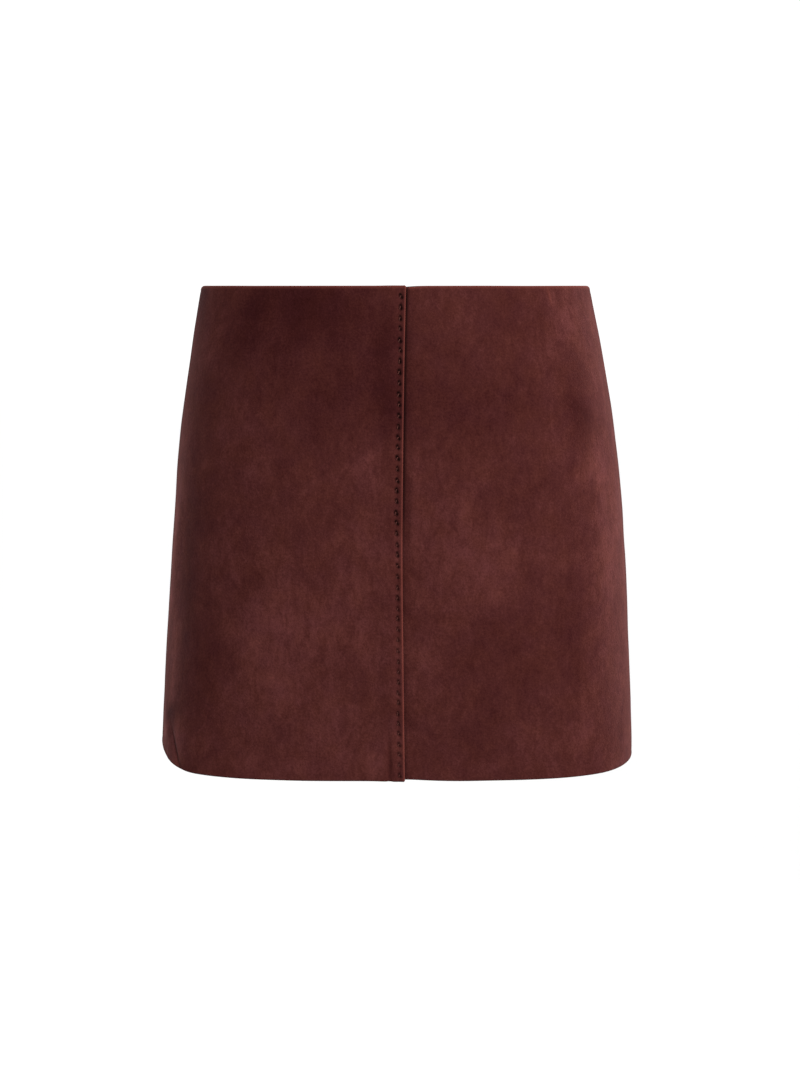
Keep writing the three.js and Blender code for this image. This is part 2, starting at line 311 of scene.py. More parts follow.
# The outline's point with its directions: along the turn, down the cloth, and out of it.
def clothFrame(turn, drop):
    turnStep, dropStep = 0.01, 1.0
    across = unit(outlinePoint(turn + turnStep, drop) - outlinePoint(turn - turnStep, drop))
    down = unit(outlinePoint(turn, drop + dropStep) - outlinePoint(turn, drop - dropStep))
    outward = unit(np.cross(down, across))
    return outlinePoint(turn, drop), across, down, outward


def frontTurn(x, drop):
    return np.arcsin((x - measure("middle", drop)) / measure("halfWidth", drop))


def backTurn(past, drop):
    return math.pi + np.arcsin(past / measure("halfWidth", drop))


# How far a panel's limit lies past its seam, where the outline moves by speed for a radian of turn.
def seamReach(speed):
    return cloth["foldMargin"] * (speed / cloth["stepRadius"] - 1) + form["seamPress"] / 2


def seamTurn(depth, drop):
    reach = measure(depth, drop)
    return np.arcsin(-seamReach(reach) / reach)


def hemDrop(turn):
    fromSide = np.degrees(np.arcsin(np.abs(np.cos(turn))))
    rise = np.where(np.sin(turn) < 0, form["leftHemRise"], form["rightHemRise"])
    return form["length"] - rise * (1 - smooth(fromSide, form["hemRiseFull"], form["hemRiseStart"]))


def stitchIn(drop):
    marks = lap["stitchIn"]
    return np.interp(drop, [mark["drop"] for mark in marks], [mark["in"] for mark in marks])


# The stitches' places, each a little off its mark, and the same ones for the holes and the thread.
stitchRows = []
for k in range(lap["stitches"]):
    mark = lap["firstStitch"] + k * lap["stitchPitch"]
    stitchRows.append({
        "drop": mark + random.uniform(-0.5, 0.5),
        "in": stitchIn(mark) + random.uniform(-0.3, 0.3),
        "lean": random.uniform(0.7, 2.1),
        "depth": random.uniform(0.75, 1.25),
    })


# How far the needle holes and the stitch between them pull the suede in.
def stitchDepth(fromEdge, drop):
    nearest = np.clip(np.rint((drop - lap["firstStitch"]) / lap["stitchPitch"]), 0, lap["stitches"] - 1)
    nearest = nearest.astype(int)
    middle, inFrom, lean, depth = (
        np.array([row[name] for row in stitchRows])[nearest] for name in ("drop", "in", "lean", "depth")
    )
    across, along = inFrom - fromEdge, drop - middle  # across grows to +X, along grows downwards
    pit = lap["pitDepth"] * bell(np.hypot(across / lap["pitWide"], along / lap["pitTall"]), 1)
    for way in (-1, 1):
        sideways, downwards = across - way * lean / 2, along - way * lap["holeApart"] / 2
        pit = pit + lap["holeDepth"] * bell(np.hypot(sideways, downwards), lap["holeRadius"])
    lane = lap["laneDepth"] * bell(fromEdge - stitchIn(drop), lap["laneWidth"])
    eased = 1 - lap["eased"] * smooth(drop, 60, 370)
    return lane + depth * eased * pit


def dentHeight(fromEdge, drop):
    total = np.zeros(np.broadcast(fromEdge, drop).shape)
    for dent in lapDents:
        down = (drop - dent["drop"]) / (dent["long"] / 2)
        total = total + dent["height"] * bell(fromEdge - dent["in"], dent["wide"]) * bell(down, 0.9)
    return total


def creaseHeight(turn, drop):
    radius = cloth["turnRadius"]
    total = np.zeros(np.broadcast(turn, drop).shape)
    for crease in creases:
        down = (drop - crease["drop"]) / (crease["long"] / 2)
        sideways = (turn - math.radians(crease["turn"])) * radius - crease["lean"] * down / 2
        total = total + crease["height"] * bell(sideways, crease["wide"]) * bell(down, 0.85)
    return total


# How much lighter or darker the patches paint the suede, for the nap's tone and for painted light and
# shade.
def napAndLightTone(turn, drop):
    radius = cloth["turnRadius"]
    around = turn * radius
    swirl = np.sin(around / 17 + 2.1 * np.sin(drop / 29)) + 0.6 * np.sin(drop / 9 - around / 23)
    sway = np.sin(drop / 15 + 1.7 * np.sin(around / 33)) + 0.6 * np.sin(around / 8 + drop / 21)
    total = np.zeros(np.broadcast(turn, drop).shape)
    for patch in napAndLightPatches:
        wide, tall = patch["wide"], patch["tall"]
        sideways = around - math.radians(patch["turn"]) * radius + 0.1 * wide * swirl
        downwards = drop - patch["drop"] + 0.1 * tall * sway
        total = total + patch["tone"] * bell(sideways, wide / 2) * bell(downwards, tall / 2)
    return total


# How far a place is across its panel's narrow fold, and how much of the fold is there.
def narrowFold(node, turn, drop):
    fold = narrowFolds.get(node)
    if fold is None:
        farAway = 99.0
        return np.full(turn.shape, farAway), np.zeros(turn.shape)
    down = (drop - fold["drop"]) / (fold["long"] / 2)
    around = (turn - math.radians(fold["turn"])) * cloth["turnRadius"]
    sideways = around - fold["lean"] * down / 2
    return sideways, fold["share"] * bell(down, 0.85)


# The suede's slight unevenness, so that no stretch of it is a perfect curve.
def waviness(points):
    flat = points.reshape(-1, 3) / cloth["waveSize"]
    elsewhere = Vector((7, 3, 1))
    values = [noise.noise(Vector(p)) + 0.5 * noise.noise(Vector(p) * 2.3 + elsewhere) for p in flat]
    return cloth["waveHeight"] * np.array(values).reshape(points.shape[:-1])


# The seams draw the suede in unevenly, the same on both sides of each.
puckerDrops = np.arange(0, 400, cloth["puckerStep"])
puckers = np.array([random.uniform(-0.32, 0.22) for drop in puckerDrops])
# how much the lap's ridge is rubbed lighter and painted with a highlight, varying down the seam
ridgeUnevenness = np.array([random.uniform(0.6, 1.4) for drop in puckerDrops])


# Places along a cut edge to edge, with the turned-in strip at either end: the place on the face,
# how far inside it the strip has come back, how far through the fold it is, and past the edge.
def foldedStops(face, turnedAtStart, turnedAtEnd):
    stops = [{"cut": s, "edge": s, "inside": 0, "fold": 0, "past": 0, "turned": 0} for s in face]
    for turned, edge, way in ((turnedAtStart, face[0], -1), (turnedAtEnd, face[-1], 1)):
        if not turned:
            continue
        added = []
        for k in range(1, cloth["foldSteps"] + 1):
            angle = math.pi * k / cloth["foldSteps"]
            added.append({
                "cut": edge + way * cloth["foldRadius"] * angle,
                "edge": edge,
                "inside": 0,
                "fold": (1 - math.cos(angle)) / 2,
                "past": way * cloth["foldRadius"] * math.sin(angle),
                "turned": 1,
            })
        for k in range(1, cloth["turnedSteps"] + 1):
            inside = turned * k / cloth["turnedSteps"]
            added.append({
                "cut": edge + way * (cloth["foldRadius"] * math.pi + inside),
                "edge": edge,
                "inside": -way * inside,
                "fold": 1,
                "past": 0,
                "turned": 1,
            })
        stops = stops + added if way > 0 else added[::-1] + stops
    return {key: np.array([stop[key] for stop in stops], float) for key in stops[0]}


# Even places from one number to another, about a step apart.
def evenly(start, end, step):
    return list(np.linspace(start, end, max(1, round((end - start) / step)) + 1))


def joinedStops(*runs):
    places = list(runs[0])
    for run in runs[1:]:
        places += run[1:]
    return places


def leftSeamFront(drop):
    return seamTurn("front", drop) - quarter


def rightSeamFront(drop):
    return quarter - seamTurn("front", drop)


def rightSeamBack(drop):
    return quarter + seamTurn("back", drop)


def leftSeamBack(drop):
    return 3 * quarter - seamTurn("back", drop)


def lapEdgeTurn(drop):
    return frontTurn(measure("lapEdge", drop), drop)


def underEdgeTurn(drop):
    return frontTurn(measure("lapEdge", drop) - lap["width"], drop)


def backSeamRight(drop):
    return backTurn(seamReach(measure("halfWidth", drop)), drop)


def backSeamLeft(drop):
    return backTurn(-seamReach(measure("halfWidth", drop)), drop)


edge = cloth["foldMargin"]
fineRows = 0.84
panels = [
    {
        "name": "front_lap_suede",
        "width": 244,
        "node": "front_lap_panel",
        "start": leftSeamFront,
        "end": lapEdgeTurn,
        "columns": joinedStops(
            evenly(edge, 5, 1), evenly(5, 204, 4.8), evenly(204, 229, 1.5), evenly(229, 244 - edge, 0.65)
        ),
        "rows": evenly(edge, form["length"] - edge, fineRows),
        "turnedAtStart": cloth["seamTurn"],
        "turnedAtEnd": cloth["lapTurn"],
        "lapped": True,
    },
    {
        "name": "front_under_suede",
        "width": 240,
        "node": "front_under_panel",
        "start": underEdgeTurn,
        "end": rightSeamFront,
        "columns": joinedStops(
            evenly(0, 16, 1), evenly(16, 44, 2), evenly(44, 235, 4.4), evenly(235, 240 - edge, 1)
        ),
        "rows": joinedStops(evenly(edge, 14, 0.9), evenly(14, form["length"] - edge, 2.2)),
        "turnedAtStart": 0,
        "turnedAtEnd": cloth["seamTurn"],
        "lapped": False,
    },
    {
        "name": "back_right_suede",
        "width": 246,
        "node": "back_right_panel",
        "start": rightSeamBack,
        "end": backSeamRight,
        "columns": joinedStops(evenly(edge, 5, 1), evenly(5, 222, 4.4), evenly(222, 246 - edge, 1.4)),
        "rows": joinedStops(evenly(edge, 20, 0.9), evenly(20, form["length"] - edge, 2.2)),
        "turnedAtStart": cloth["seamTurn"],
        "turnedAtEnd": cloth["seamTurn"],
        "lapped": False,
    },
    {
        "name": "back_left_suede",
        "width": 246,
        "node": "back_left_panel",
        "start": backSeamLeft,
        "end": leftSeamBack,
        "columns": joinedStops(evenly(edge, 24, 1.4), evenly(24, 241, 4.4), evenly(241, 246 - edge, 1)),
        "rows": joinedStops(evenly(edge, 20, 0.9), evenly(20, form["length"] - edge, 2.2)),
        "turnedAtStart": cloth["seamTurn"],
        "turnedAtEnd": cloth["seamTurn"],
        "lapped": False,
    },
]

# The zip, in millimetres, at the top of the centre back seam.
zipper = {
    "end": 182,
    "tapeTop": 3,
    "tapeFrom": 1.8,
    "tapeWidth": 12,
    "tapeThickness": 0.5,
    "tapeIn": 2.55,
    "coilTop": 13,
    "toothPitch": 1.3,
    "toothLong": 2.2,
    "toothWide": 0.62,
    "toothDeep": 1.3,
    "teethIn": 2.95,
    "toothOut": 0.42,
    "sliderDrop": 9,
    "castEdge": 0.22,
    "castCorner": 40,
    "notchHalf": 1.15,  # of the opening round the slider's neck
    "notchTall": 1.4,
    "notchSoft": 1.8,
    "openAbove": 0.1,
    "clearOfZip": (13, 24),  # where the turned waist beside the zip is cut back, and how much of it
    "waistCutBack": 0.92,
    "ripple": 0.05,
    "rippleLong": 3.1,
}


# The back seam opens round the slider's neck, and a little above it.
def seamOpening(past, drop):
    fromNeck = np.maximum(np.abs(drop - zipper["sliderDrop"]) - zipper["notchTall"], 0)
    around = bell(fromNeck, zipper["notchSoft"])
    above = zipper["openAbove"] * (1 - smooth(drop, 2, zipper["sliderDrop"]))
    opening = (zipper["notchHalf"] + form["seamPress"] / 2) * np.maximum(around, above)
    return np.sign(past) * opening * (1 - smooth(np.abs(past), 1, 14))


# How much lower than the form a place of a panel hangs.
def panelSag(panel, turn, drop, fromLap):
    nearWaist = 1 - smooth(drop, 0, sags["waistTo"])
    nearHem = smooth(drop, sags["hemFrom"], form["length"])
    sideward = bell((np.abs(np.sin(turn)) - 1) * 100, sags["sideSeamWide"])
    sag = sags["sideSeam"] * sideward * nearWaist
    if panel["lapped"]:
        return sag + sags["lapHem"] * (1 - smooth(fromLap, 4, 14)) * nearHem
    if panel["node"].startswith("front"):
        pastLap = np.maximum(-fromLap, 0)
        sag = sag + sags["underHem"] * bell(pastLap, sags["underHemWide"]) * nearHem
        return sag + sags["underWaist"] * bell(pastLap, sags["underWaistWide"]) * nearWaist
    backward = bell((turn - math.pi) * measure("halfWidth", drop), sags["backSeamWide"])
    return sag + sags["backSeam"] * backward * nearWaist


def rubAndShadeDown(rub, drop):
    return rub["above"] + (rub["below"] - rub["above"]) * smooth(drop, *rub["drops"])


# Every point of a panel, with its tone, its rubbed wear and its painted light and shade, on a grid of
# columns and rows.
def panelGrid(panel):
    length = form["length"]
    columns = foldedStops(panel["columns"], panel["turnedAtStart"], panel["turnedAtEnd"])
    rows = foldedStops(panel["rows"], cloth["waistTurn"], cloth["hemTurn"])
    column = {key: values[:, None] for key, values in columns.items()}
    row = {key: values[None, :] for key, values in rows.items()}
    width = panel["width"]
    nearBackSeam = np.zeros((1, 1))
    if panel["end"] is backSeamRight:
        fromZip = width - column["edge"] - column["inside"]
        nearBackSeam = 1 - smooth(fromZip, *zipper["clearOfZip"])
    if panel["start"] is backSeamLeft:
        fromZip = column["edge"] + column["inside"]
        nearBackSeam = 1 - smooth(fromZip, *zipper["clearOfZip"])
    cutBack = 1 - zipper["waistCutBack"] * nearBackSeam
    fromTop = row["edge"] + row["inside"] * np.where(row["edge"] < length / 2, cutBack, 1.0)
    fromEdge = np.minimum(fromTop, length - fromTop)
    mitred = smooth(fromEdge, 0.5, cloth["mitre"])
    fromStart = column["edge"] + column["inside"] * (
        cloth["mitreLeft"] + (1 - cloth["mitreLeft"]) * mitred
    )
    start, end = panel["start"](fromTop), panel["end"](fromTop)
    turn = start + (end - start) * fromStart / width
    drop = fromTop / length * hemDrop(turn)
    fromLap = measure("lapEdge", drop) - outlinePoint(turn, drop)[..., 0]
    isFront = panel["node"].startswith("front")
    share = np.zeros(turn.shape)  # of the lap's step, up on one panel and down on the other
    if panel["lapped"]:
        share = 1 - smooth(fromLap, lap["flat"], lap["faded"])
    elif isFront:
        share = 1 - smooth(-fromLap, 0, lap["sunkTo"])
    drop = drop + panelSag(panel, turn, drop, fromLap)
    point, across, down, outward = clothFrame(turn, drop)
    seams = []
    if panel["turnedAtStart"]:
        seams.append(fromStart)
    if panel["turnedAtEnd"]:
        seams.append(width - fromStart)
    fromSeam = np.minimum.reduce(seams)
    sewn = fromStart if panel["lapped"] else fromSeam  # the lap's edge is turned, but not sewn like these
    awayFromLap = smooth(np.abs(fromLap + 2), 4, 30) if isFront else 1
    shaped = creaseHeight(turn, drop) * (0.35 + 0.65 * smooth(drop, 0, 25)) * awayFromLap
    if isFront:
        shaped = shaped + dentHeight(fromLap, drop) * smooth(drop, 0, 12)
    out = shaped + waviness(point) * awayFromLap
    out = out + np.interp(drop, puckerDrops, puckers) * bell(sewn, cloth["puckerWide"])
    allowance = cloth["seamTurn"]
    out = out + cloth["seamRaise"] * (1 - smooth(sewn, allowance - 1, allowance + 3))
    out = out - cloth["pressDepth"] * bell(fromEdge - cloth["pressIn"], cloth["pressWide"])
    if panel["lapped"]:
        out = out + lap["raise"] * share + lap["edgeRidge"] * bell(fromLap - 1.4, 1.0)
        out = out - stitchDepth(fromLap, drop) * (1 - column["turned"])
    elif isFront:
        out = out - lap["sink"] * share
    layers = column["fold"] * (1 - row["fold"])
    band = 1 - smooth(fromSeam, allowance, allowance + 3)
    cover = smooth(fromEdge, 1, cloth["mitre"] - 2)
    layers = layers + row["fold"] * (1 + band * cover)
    inward = cloth["thickness"] / 2 + cloth["layerPitch"] * layers - out
    point = point - outward * inward[..., None]
    point = point + across * (column["past"] * (1 - row["fold"]))[..., None]
    point = point + down * np.broadcast_to(row["past"], turn.shape)[..., None]
    if not isFront:
        past = (turn - math.pi) * measure("halfWidth", drop)
        point = point + across * seamOpening(past, drop)[..., None]
    fold = np.maximum(column["fold"] * (1 - row["fold"]), row["fold"] * np.ones(turn.shape))
    onFace = fold < 0.5
    # Rubbed lighter with a painted highlight on the folds and along the waist edge, painted shade under
    # the hem's fold.
    foldRubAndHighlight = rubsAndShades["sewnFold"] + (rubsAndShades["openFold"] - rubsAndShades["sewnFold"]) * smooth(sewn, 2, 5)
    wearAndShade = foldRubAndHighlight * (fold > 0) * bell(fold - 0.1, 0.14)
    wearAndShade = wearAndShade + rubsAndShades["waist"] * bell(fromTop - edge, 1.1) * onFace
    inHem = (row["fold"] > 0) * (row["edge"] > length / 2)
    wearAndShade = wearAndShade + rubsAndShades["hem"] * bell(fold - 0.15, 0.2) * inHem
    if panel["lapped"]:
        # the lap's folded edge: rubbed lighter, with a painted highlight along it
        ridgeRubAndHighlight = rubAndShadeDown(rubsAndShades["ridge"], drop) * np.interp(drop, puckerDrops, ridgeUnevenness)
        wearAndShade = wearAndShade + ridgeRubAndHighlight * bell(fromLap - 0.9, 0.7) * onFace
        # painted shade in each stitch pit, heavier on its upper right wall, which faces away from the
        # light
        shadowed = stitchDepth(fromLap + 0.85, drop + 0.6)
        wearAndShade = wearAndShade + rubAndShadeDown(rubsAndShades["stitches"], drop) * smooth(shadowed, 0.3, 1.2)
    elif isFront:
        # painted shade in the ditch beside the lap's edge
        wearAndShade = wearAndShade + rubAndShadeDown(rubsAndShades["ditch"], drop) * bell(fromLap + 0.3, 1.6)
    tone = napAndLightTone(turn, drop) + 0.35 * shaped  # painted light and shade: a ridge is painted lighter, a trough darker
    foldAcross, foldShare = narrowFold(panel["node"], turn, drop)
    return {
        "points": point * mm,
        "tone": tone,
        "wearAndShade": wearAndShade,
        "foldAcross": foldAcross,
        "foldShare": foldShare,
        "corner": column["turned"] * row["turned"],
        "cutAcross": columns["cut"],
        "cutDown": rows["cut"],
    }


attributes = ("tone", "wearAndShade", "foldAcross", "foldShare")


# A panel is a grid laid over the form. The corners where two turned edges meet are cut away.
def makePanel(panel, material):
    grid = panelGrid(panel)
    acrossCount, downCount = grid["points"].shape[:2]
    bm = bmesh.new()
    bmesh.ops.create_grid(bm, x_segments=acrossCount - 1, y_segments=downCount - 1, size=1)
    layers = {name: bm.verts.layers.float.new(name) for name in attributes}
    uvLayer = bm.loops.layers.uv.new("cut")
    place = {}
    corners = []
    for vert in bm.verts:
        i = round((vert.co.x + 1) / 2 * (acrossCount - 1))
        j = downCount - 1 - round((vert.co.y + 1) / 2 * (downCount - 1))
        place[vert] = (i, j)
        vert.co = Vector(grid["points"][i, j])
        for name, layer in layers.items():
            vert[layer] = grid[name][i, j]
    for face in bm.faces:
        if all(grid["corner"][place[vert]] for vert in face.verts):
            corners.append(face)
            continue
        for loop in face.loops:
            i, j = place[loop.vert]
            loop[uvLayer].uv = (grid["cutAcross"][i] * mm, -grid["cutDown"][j] * mm)
    bmesh.ops.delete(bm, geom=corners, context="FACES")
    area = sum(face.calc_area() for face in bm.faces)
    piece = newPiece(panel["name"], bm, material)
    wall = piece.modifiers.new("wall", "SOLIDIFY")
    wall.thickness = cloth["thickness"] * mm
    wall.offset = 0
    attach(piece, "skirt")
    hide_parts(panel["node"])
    flatWidth = (grid["cutAcross"][-1] - grid["cutAcross"][0]) * mm
    flatLength = (grid["cutDown"][-1] - grid["cutDown"][0]) * mm
    flatWidth = max(flatWidth, area / flatLength)
    print(f"{panel['name']}: {acrossCount} by {downCount}, {area:.4f} square metres")
    return piece


def newPiece(name, bm, material):
    for face in bm.faces:
        face.smooth = True
    mesh = bpy.data.meshes.new(name)
    bm.to_mesh(mesh)
    bm.free()
    piece = bpy.data.objects.new(name, mesh)
    bpy.context.scene.collection.objects.link(piece)
    mesh.materials.append(material)
    return piece


# The sRGB value of a hex colour, as the linear colour that a shader takes.
def linear(hexColour):
    parts = [int(hexColour[i:i + 2], 16) / 255 for i in (1, 3, 5)]
    return [c / 12.92 if c <= 0.04045 else ((c + 0.055) / 1.055) ** 2.4 for c in parts] + [1]


def setValues(node, values):
    for name, value in values.items():
        node.inputs[name].default_value = value


# A link that names a node comes from the node's first output.
def setLinks(tree, node, links):
    for name, source in links.items():
        tree.links.new(getattr(source, "outputs", [source])[0], node.inputs[name])


# Adds a node with its settings, its socket values and its links.
def addNode(tree, kind, settings={}, values={}, links={}):
    node = tree.nodes.new(kind)
    for name, value in settings.items():
        setattr(node, name, value)
    setValues(node, values)
    setLinks(tree, node, links)
    return node


# Gives a ramp its colours, each with its place from 0 to 1.
def setStops(ramp, stops):
    elements = ramp.color_ramp.elements
    for place, colour in stops[1:-1]:
        elements.new(place).color = linear(colour)
    for k in (0, -1):
        elements[k].position = stops[k][0]
        elements[k].color = linear(stops[k][1])


def newMaterial(name, values):
    material = bpy.data.materials.new(name)
    material.use_nodes = True
    shader = material.node_tree.nodes["Principled BSDF"]
    setValues(shader, values)
    return material, material.node_tree, shader


times = {"operation": "MULTIPLY"}
timesPlus = {"operation": "MULTIPLY_ADD"}
timesWithin = {"operation": "MULTIPLY", "use_clamp": True}
colours = {"data_type": "RGBA"}
bandPitch = 0.31  # between the bands of a wave texture at a scale of 1

suedeLook = {
    "shades": ["#220a0a", "#2c1111", "#391b19", "#482624", "#5c322e"],
    "worn": "#5d2f29",
    "wornShare": 0.7,
    "paintedShade": "#110505",
    "paintedShadeShare": 0.75,
    "warm": "#fff7f0",
    "cool": "#fbf3fa",
    "castSize": 17,
    # from the wide clouds of the brushed nap, in mm, to a grain as fine as the render shows
    "layers": [
        {"name": "cloud", "size": 38, "share": 0.44, "detail": 6, "distortion": 0.8, "brushed": False},
        {"name": "stroke", "size": 10.5, "share": 0.39, "detail": 5, "distortion": 1.4, "brushed": True},
        {"name": "mottle", "size": 6.5, "share": 0.26, "detail": 2, "distortion": 0.8, "brushed": True},
        {"name": "grain", "size": 1.5, "share": 0.5, "detail": 2, "distortion": 0.2, "brushed": False},
    ],
    "layerRoughness": 0.66,
    "brushScale": (1, 1, 0.5),  # strokes are twice as long down the skirt
    "toneShare": 0.28,
    "foldShadeAndScuff": -0.9,
    "foldHeight": -1.5,
    "relief": 0.5,
    "sheen": 0.06,
    "sheenRoughness": 0.3,
    "sheenTint": "#c37671",
}


# Kid suede, dyed through and brushed by hand: a short nap that lies both ways in soft clouds,
# matt face on, with a pale bloom where the surface turns away.
def makeSuede():
    look = suedeLook
    material, tree, shader = newMaterial("suedeBrushedKid", {
        "Roughness": 0.95,
        "Specular IOR Level": 0.02,
        "Sheen Weight": look["sheen"],
        "Sheen Roughness": look["sheenRoughness"],
        "Sheen Tint": linear(look["sheenTint"]),
    })
    where = addNode(tree, "ShaderNodeTexCoord").outputs["Object"]
    brushed = addNode(tree, "ShaderNodeMapping", {}, {"Scale": look["brushScale"]}, {"Vector": where})
    total = None
    noises = {}
    for layer in look["layers"]:
        values = {
            "Scale": 1 / (layer["size"] * mm),
            "Detail": layer["detail"],
            "Roughness": look["layerRoughness"],
            "Distortion": layer["distortion"],
        }
        place = brushed if layer["brushed"] else where
        made = addNode(tree, "ShaderNodeTexNoise", {}, values, {"Vector": place}).outputs["Fac"]
        noises[layer["name"]] = made
        values, links = {1: layer["share"]}, {0: made}
        if total is None:
            values[2] = 0.5 - sum(each["share"] for each in look["layers"]) / 2
        else:
            links[2] = total
        total = addNode(tree, "ShaderNodeMath", timesPlus, values, links)
    tone, wearAndShade, foldAcross, foldShare = (
        addNode(tree, "ShaderNodeAttribute", {"attribute_name": name}).outputs["Fac"]
        for name in attributes
    )
    broken = addNode(tree, "ShaderNodeMath", timesPlus, {1: 1.6, 2: 0.2}, {0: noises["stroke"]})
    uneven = addNode(tree, "ShaderNodeMath", times, {}, {0: tone, 1: broken})
    toned = addNode(tree, "ShaderNodeMath", timesPlus, {1: look["toneShare"]}, {0: uneven, 2: total})
    ramp = addNode(tree, "ShaderNodeValToRGB", {}, {}, {"Fac": toned})
    setStops(ramp, [(k / 4, shade) for k, shade in enumerate(look["shades"])])
    values = {"Scale": 1 / (look["castSize"] * mm), "Detail": 5}
    castNoise = addNode(tree, "ShaderNodeTexNoise", {}, values, {"Vector": where}).outputs["Fac"]
    cast = addNode(tree, "ShaderNodeValToRGB", {}, {}, {"Fac": castNoise})
    setStops(cast, [(0.35, look["cool"]), (0.65, look["warm"])])
    product = {"data_type": "RGBA", "blend_type": "MULTIPLY"}
    dyed = addNode(tree, "ShaderNodeMix", product, {0: 1.0}, {6: ramp, 7: cast}).outputs[2]
    # the line of a narrow fold, painted shade where its share is above 0 and rubbed lighter below 0: a
    # bell of the distance from it
    widths = addNode(tree, "ShaderNodeMath", times, {1: 1 / narrowFolds["wide"]}, {0: foldAcross})
    below = addNode(tree, "ShaderNodeMath", times, {1: -1}, {0: widths})
    squared = addNode(tree, "ShaderNodeMath", times, {}, {0: widths, 1: below})
    rounded = addNode(tree, "ShaderNodeMath", {"operation": "EXPONENT"}, {}, {0: squared})
    line = addNode(tree, "ShaderNodeMath", times, {}, {0: rounded, 1: foldShare})
    wearAndShade = addNode(tree, "ShaderNodeMath", timesPlus, {1: look["foldShadeAndScuff"]}, {0: line, 2: wearAndShade})
    colour = dyed
    # mixes in the rubbed, highlighted colour above 0 and the painted shade colour below 0
    for shade, share in ((look["worn"], look["wornShare"]), (look["paintedShade"], -look["paintedShadeShare"])):
        amount = addNode(tree, "ShaderNodeMath", timesWithin, {1: share}, {0: wearAndShade})
        values, links = {7: linear(shade)}, {0: amount, 6: colour}
        colour = addNode(tree, "ShaderNodeMix", colours, values, links).outputs[2]
    links = {0: noises["mottle"], 2: noises["grain"]}
    height = addNode(tree, "ShaderNodeMath", timesPlus, {1: 0.5}, links)
    folded = addNode(tree, "ShaderNodeMath", timesPlus, {1: look["foldHeight"]}, {0: line, 2: height})
    values = {"Strength": 0.8, "Distance": look["relief"] * mm}
    bump = addNode(tree, "ShaderNodeBump", {}, values, {"Height": folded})
    setLinks(tree, shader, {"Base Color": colour, "Normal": bump})
    return material


threadLook = {
    "colour": "#4c2722",
    "shade": "#2a1311",
    "twist": 0.9,
    "slant": (0, 0.6, 0),
    "relief": 0.15,
    "radius": 0.46,
    "steps": 9,
    "arch": 0.75,
    "dive": 38,  # degrees at either hole
}


# Waxed linen thread, twisted: its strands show as fine slanting bands, with painted shade in the grooves
# between them.
def makeThread():
    look = threadLook
    matt = {"Roughness": 0.8, "Specular IOR Level": 0.12}
    material, tree, shader = newMaterial("threadWaxedLinen", matt)
    where = addNode(tree, "ShaderNodeTexCoord").outputs["Object"]
    slanted = addNode(tree, "ShaderNodeMapping", {}, {"Rotation": look["slant"]}, {"Vector": where})
    values = {"Scale": bandPitch / (look["twist"] * mm), "Distortion": 1.5, "Detail": 2}
    bands = addNode(tree, "ShaderNodeTexWave", {"bands_direction": "Z"}, values, {"Vector": slanted})
    twist = bands.outputs["Fac"]
    mix = addNode(tree, "ShaderNodeValToRGB", {}, {}, {"Fac": twist})
    setStops(mix, [(0, look["shade"]), (1, look["colour"])])
    values = {"Strength": 0.6, "Distance": look["relief"] * mm}
    bump = addNode(tree, "ShaderNodeBump", {}, values, {"Height": twist})
    setLinks(tree, shader, {"Base Color": mix, "Normal": bump})
    return material


tapeLook = {
    "light": "#50282a",
    "dark": "#2a1314",
    "fuzz": "#8a5553",
    "weave": [
        {"direction": "X", "apart": 0.9, "distortion": 0.3},
        {"direction": "Y", "apart": 0.5, "distortion": 0.4},
    ],
    "relief": 0.2,
}


# Woven polyester zip tape: fine lengthwise ribs with the weft showing between them, painted darker where
# the weave dips, as shade between the yarns.
def makeTape():
    look = tapeLook
    material, tree, shader = newMaterial("tapeWovenPolyester", {
        "Roughness": 0.8,
        "Specular IOR Level": 0.15,
        "Sheen Weight": 0.05,
        "Sheen Tint": linear(look["fuzz"]),
    })
    where = addNode(tree, "ShaderNodeUVMap", {"uv_map": "cut"}).outputs["UV"]
    yarns = []
    for yarn in look["weave"]:
        settings = {"bands_direction": yarn["direction"]}
        values = {"Scale": bandPitch / (yarn["apart"] * mm), "Distortion": yarn["distortion"]}
        bands = addNode(tree, "ShaderNodeTexWave", settings, values, {"Vector": where})
        yarns.append(bands.outputs["Fac"])
    weave = addNode(tree, "ShaderNodeMath", times, {}, {0: yarns[0], 1: yarns[1]})
    mix = addNode(tree, "ShaderNodeValToRGB", {}, {}, {"Fac": weave})
    setStops(mix, [(0, look["dark"]), (1, look["light"])])
    values = {"Strength": 0.7, "Distance": look["relief"] * mm}
    bump = addNode(tree, "ShaderNodeBump", {}, values, {"Height": weave})
    setLinks(tree, shader, {"Base Color": mix, "Normal": bump})
    return material


nylonLook = {"dark": "#3c1d1c", "light": "#5a2f2c", "unevenSize": 3}


# Nylon zip coil, extruded and dyed to match: smooth, with a soft highlight on every turn.
def makeNylon():
    look = nylonLook
    material, tree, shader = newMaterial("coilDyedNylon", {"Roughness": 0.38, "IOR": 1.53})
    where = addNode(tree, "ShaderNodeTexCoord").outputs["Object"]
    values = {"Scale": 1 / (look["unevenSize"] * mm), "Detail": 2}
    uneven = addNode(tree, "ShaderNodeTexNoise", {}, values, {"Vector": where}).outputs["Fac"]
    mix = addNode(tree, "ShaderNodeValToRGB", {}, {}, {"Fac": uneven})
    setStops(mix, [(0, look["dark"]), (1, look["light"])])
    setLinks(tree, shader, {"Base Color": mix})
    return material


zincLook = {"lacquer": "#4a2523", "metal": "#8d8279", "speckleSize": 2.5}


